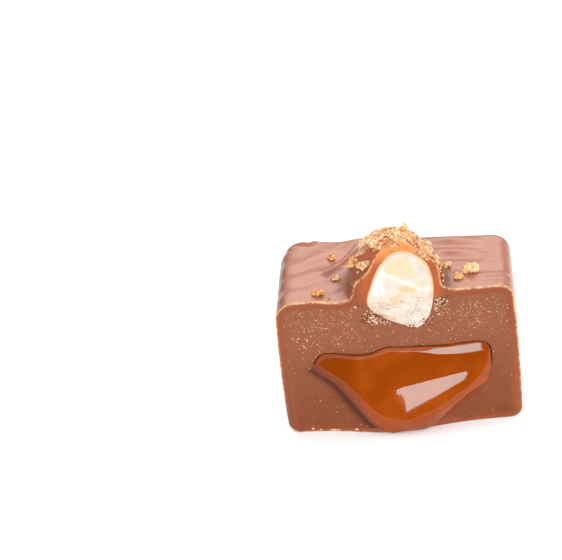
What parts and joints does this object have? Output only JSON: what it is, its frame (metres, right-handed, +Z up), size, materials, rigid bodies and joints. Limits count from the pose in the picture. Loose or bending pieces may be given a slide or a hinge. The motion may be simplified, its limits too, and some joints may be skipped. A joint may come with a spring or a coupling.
{
  "type": "filled chocolate",
  "caption": "Half of a coated chocolate cut straight down, with a nut filling, a hazelnut in a mound on top and soft caramel sagging out of the cut.",
  "frame": {"origin": "middle of the base on the table, under the centre of the bounding box", "axes": "+Z up from the flat base, the cut face looks along -Y, +X along the cut from left to right"},
  "size_m": [0.031, 0.0226, 0.0272],
  "materials": {
    "milk_chocolate": "satin milk chocolate, pinkish brown, a little glossier on the top",
    "nut_paste": "matte nut paste with tiny pale specks",
    "nut_kernel": "matte cream kernel, cut across",
    "soft_caramel": "wet gloss, deep orange brown"
  },
  "bodies": {
    "root": {"coating": "milk_chocolate", "filling": "nut_paste", "hazelnut": "nut_kernel", "caramel": "soft_caramel"}
  },
  "joints": []
}
